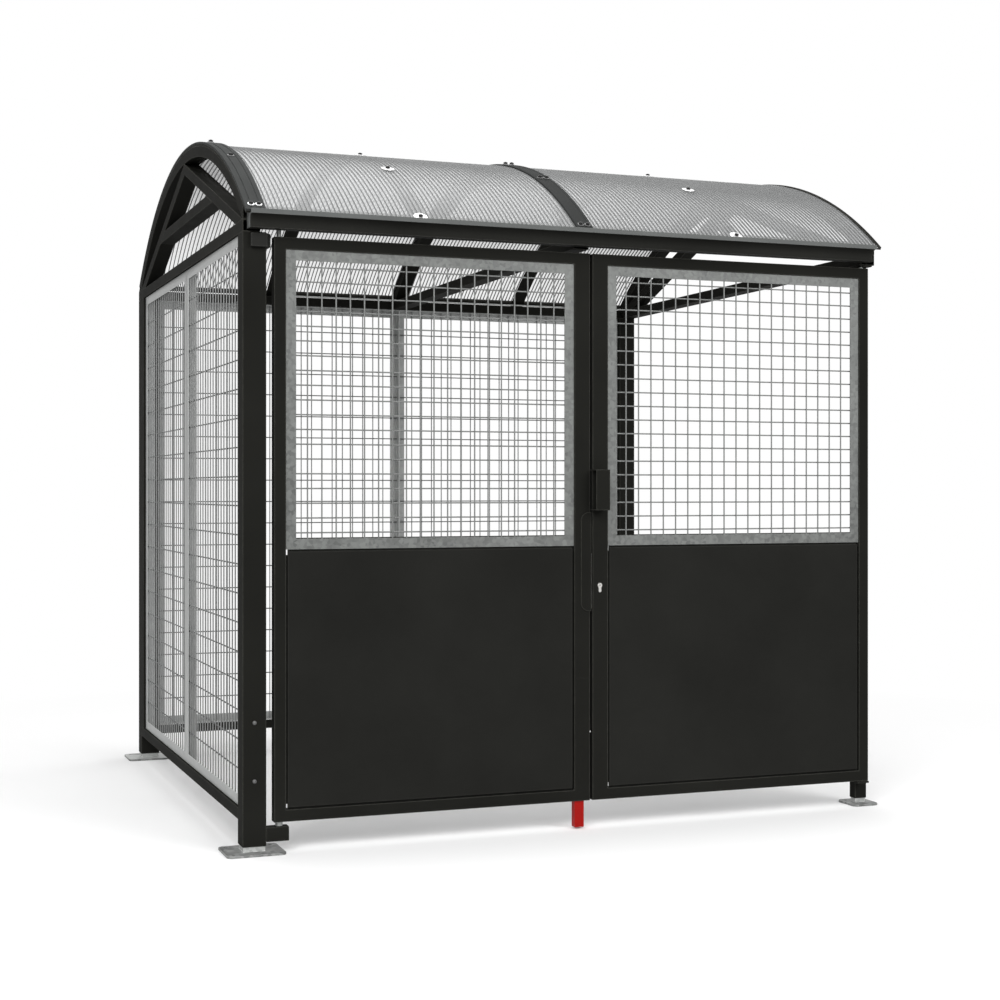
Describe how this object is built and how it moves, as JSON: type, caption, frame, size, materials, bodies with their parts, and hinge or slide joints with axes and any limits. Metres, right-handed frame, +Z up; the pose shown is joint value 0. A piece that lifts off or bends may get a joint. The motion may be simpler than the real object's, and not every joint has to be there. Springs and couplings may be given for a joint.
{
  "type": "bicycle shelter",
  "caption": "Arched-roof bicycle shelter with mesh walls, clear twin-wall roof and a pair of part-panelled swing doors with lock and drop bolt.",
  "frame": {"origin": "centre of the overall box at floor level, under the foot plates", "axes": "+Z up, +X along the front to the right as seen from outside, -Y out of the doors"},
  "size_m": [2.57, 2.41, 2.5558],
  "materials": {
    "dark_paint": "fine-textured powder coat, almost black",
    "dark_panel": "smooth satin powder coat, almost black",
    "galvanised_feet": "hot-dip galvanised, dull",
    "galvanised_walls": "galvanised, light grey",
    "galvanised_doors": "galvanised, spangled mid grey",
    "bright_fasteners": "bright zinc",
    "dark_fasteners": "blackened zinc",
    "clear_sheet": "clear twin-wall sheet with dark webs",
    "grey_profile": "anodised mid grey",
    "red_bolt": "red gloss paint",
    "lock_steel": "satin nickel",
    "bumper": "matt black"
  },
  "bodies": {
    "shelter": {"arch_centre": "dark_paint", "arch_left": "dark_paint", "arch_right": "dark_paint", "back_wall_frames": "galvanised_walls", "back_wall_mesh": "galvanised_walls", "bay_ribs": "dark_paint", "channel_end_caps": "dark_paint", "chord_left": "dark_paint", "chord_right": "dark_paint", "closing_stile": "dark_paint", "collar_left": "dark_paint", "cover_strip": "dark_paint", "eaves_channel": "dark_paint", "eaves_trim": "grey_profile", "edge_profile": "grey_profile", "end_trim": "dark_paint", "low_bracket_left": "dark_paint", "low_bracket_right": "dark_paint", "low_pins": "galvanised_feet", "post_back_left": "dark_paint", "post_back_right": "dark_paint", "post_bolts": "bright_fasteners", "post_bumper": "bumper", "post_front_left": "dark_paint", "post_front_right": "dark_paint", "rafters_left": "dark_paint", "rafters_right": "dark_paint", "rail_back_low": "dark_paint", "rail_back_top": "dark_paint", "rail_left_low": "dark_paint", "roof_bolts": "dark_fasteners", "roof_sheet_left": "clear_sheet", "roof_sheet_right": "clear_sheet", "roof_washers": "bright_fasteners", "side_wall_frames": "galvanised_walls", "side_wall_mesh": "galvanised_walls", "slim_foot": "galvanised_feet", "tie_centre": "dark_paint", "top_arm_left": "dark_paint", "top_pins": "galvanised_feet", "top_plate_right": "dark_paint", "wide_feet": "galvanised_feet"},
    "left_leaf": {"left_leaf_frame": "dark_paint", "left_panel": "dark_panel", "left_window_frame": "galvanised_doors", "left_window_mesh": "galvanised_doors", "guard_plate": "dark_paint", "strike_plate": "lock_steel"},
    "right_leaf": {"right_leaf_frame": "dark_paint", "right_panel": "dark_panel", "right_window_frame": "galvanised_doors", "right_window_mesh": "galvanised_doors", "pull_handle": "dark_paint", "lock_case": "lock_steel", "lock_forend": "lock_steel", "lock_cylinder": "lock_steel"},
    "drop_bolt": {"drop_bolt": "red_bolt", "drop_bolt_pin": "bright_fasteners"},
    "dead_bolt": {"dead_bolt": "lock_steel"},
    "key_plug": {"lock_plug": "lock_steel"}
  },
  "joints": [
    {"name": "left_leaf_swing", "type": "hinge", "parent": "shelter", "child": "left_leaf", "pos_m": [-1.098, -1.115, 0], "axis": [0, 0, -1], "range_deg": [0, 105]},
    {"name": "right_leaf_swing", "type": "hinge", "parent": "shelter", "child": "right_leaf", "pos_m": [1.177, -1.115, 0], "axis": [0, 0, 1], "range_deg": [0, 105]},
    {"name": "drop_bolt_lift", "type": "slide", "parent": "left_leaf", "child": "drop_bolt", "axis": [0, 0, 1], "range_m": [0, 0.085]},
    {"name": "key_turn", "type": "hinge", "parent": "right_leaf", "child": "key_plug", "pos_m": [0.073, -1.135, 0.874], "axis": [0, 1, 0], "range_deg": [0, 360]},
    {"name": "dead_bolt_throw", "type": "slide", "parent": "right_leaf", "child": "dead_bolt", "axis": [-1, 0, 0], "range_m": [0, 0.02]}
  ],
  "couplings": [
    {"joint": "key_turn", "follows": "dead_bolt_throw", "rad_per_m": 314.1}
  ]
}
